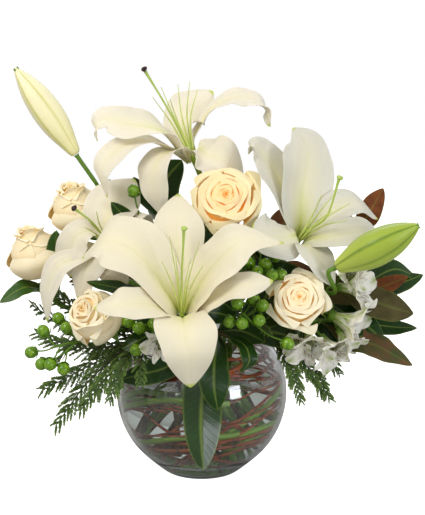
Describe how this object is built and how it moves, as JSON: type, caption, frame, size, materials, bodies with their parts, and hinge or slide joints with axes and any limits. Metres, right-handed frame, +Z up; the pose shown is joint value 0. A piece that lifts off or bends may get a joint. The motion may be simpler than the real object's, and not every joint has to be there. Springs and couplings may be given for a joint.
{
  "type": "lily arrangement in a glass bowl",
  "caption": "White lilies with cream roses, berries, small striped lilies, cedar and broad leaves, standing in a round clear glass bowl of water with coiled willow twigs.",
  "frame": {"origin": "centre of the bowl's flat foot, on the surface that the bowl stands on", "axes": "+Z up along the bowl's axis, -Y towards the side that the front lily faces, +X to the right of it"},
  "size_m": [0.3706, 0.2465, 0.3633],
  "materials": {
    "clear_glass": "clear blown glass, polished",
    "clear_water": "still clear water",
    "lily_white": "waxy creamy white petal, yellow-green throat",
    "bud_cream": "waxy closed bud, green ribs",
    "bud_green": "waxy closed bud, green ribs",
    "rose_cream": "velvety cream petal, apricot towards the heart",
    "striped_white": "white petal with dark red streaks and green tip",
    "stem_green": "smooth fresh stem",
    "berry_green": "glossy green berry",
    "cedar_green": "matt scale leaves",
    "magnolia_green": "leathery leaf, glossy above, rust brown below",
    "willow_brown": "smooth red-brown bark"
  },
  "bodies": {
    "root": {"glass_bowl": "clear_glass", "water": "clear_water", "willow_twig_1": "willow_brown", "willow_twig_2": "willow_brown", "willow_twig_3": "willow_brown", "lily_front_petals": "lily_white", "lily_front_stem": "stem_green", "lily_top_petals": "lily_white", "lily_top_stem": "stem_green", "lily_right_petals": "lily_white", "lily_right_stem": "stem_green", "lily_left_petals": "lily_white", "lily_left_stem": "stem_green", "lily_bud_left": "bud_cream", "lily_bud_right": "bud_green", "rose_high_petals": "rose_cream", "rose_high_stem": "stem_green", "rose_right_petals": "rose_cream", "rose_right_stem": "stem_green", "rose_far_left_petals": "rose_cream", "rose_far_left_stem": "stem_green", "rose_upper_left_petals": "rose_cream", "rose_upper_left_stem": "stem_green", "rose_low_left_petals": "rose_cream", "rose_low_left_stem": "stem_green", "magnolia_right": "magnolia_green", "magnolia_upper": "magnolia_green", "magnolia_front": "magnolia_green", "magnolia_middle": "magnolia_green", "magnolia_back_left": "magnolia_green", "magnolia_back_right": "magnolia_green", "hypericum_left": "berry_green", "hypericum_front": "berry_green", "hypericum_right_high": "berry_green", "hypericum_right_low": "berry_green", "hypericum_back": "berry_green", "alstroemeria_right_stem": "stem_green", "alstroemeria_right_bloom_1": "striped_white", "alstroemeria_right_bloom_2": "striped_white", "alstroemeria_right_bloom_3": "striped_white", "alstroemeria_right_bloom_4": "striped_white", "alstroemeria_right_bloom_5": "striped_white", "alstroemeria_front_stem": "stem_green", "alstroemeria_front_bloom_1": "striped_white", "cedar_left": "cedar_green", "cedar_right": "cedar_green", "cedar_back": "cedar_green", "cedar_back_left": "cedar_green"}
  },
  "joints": []
}
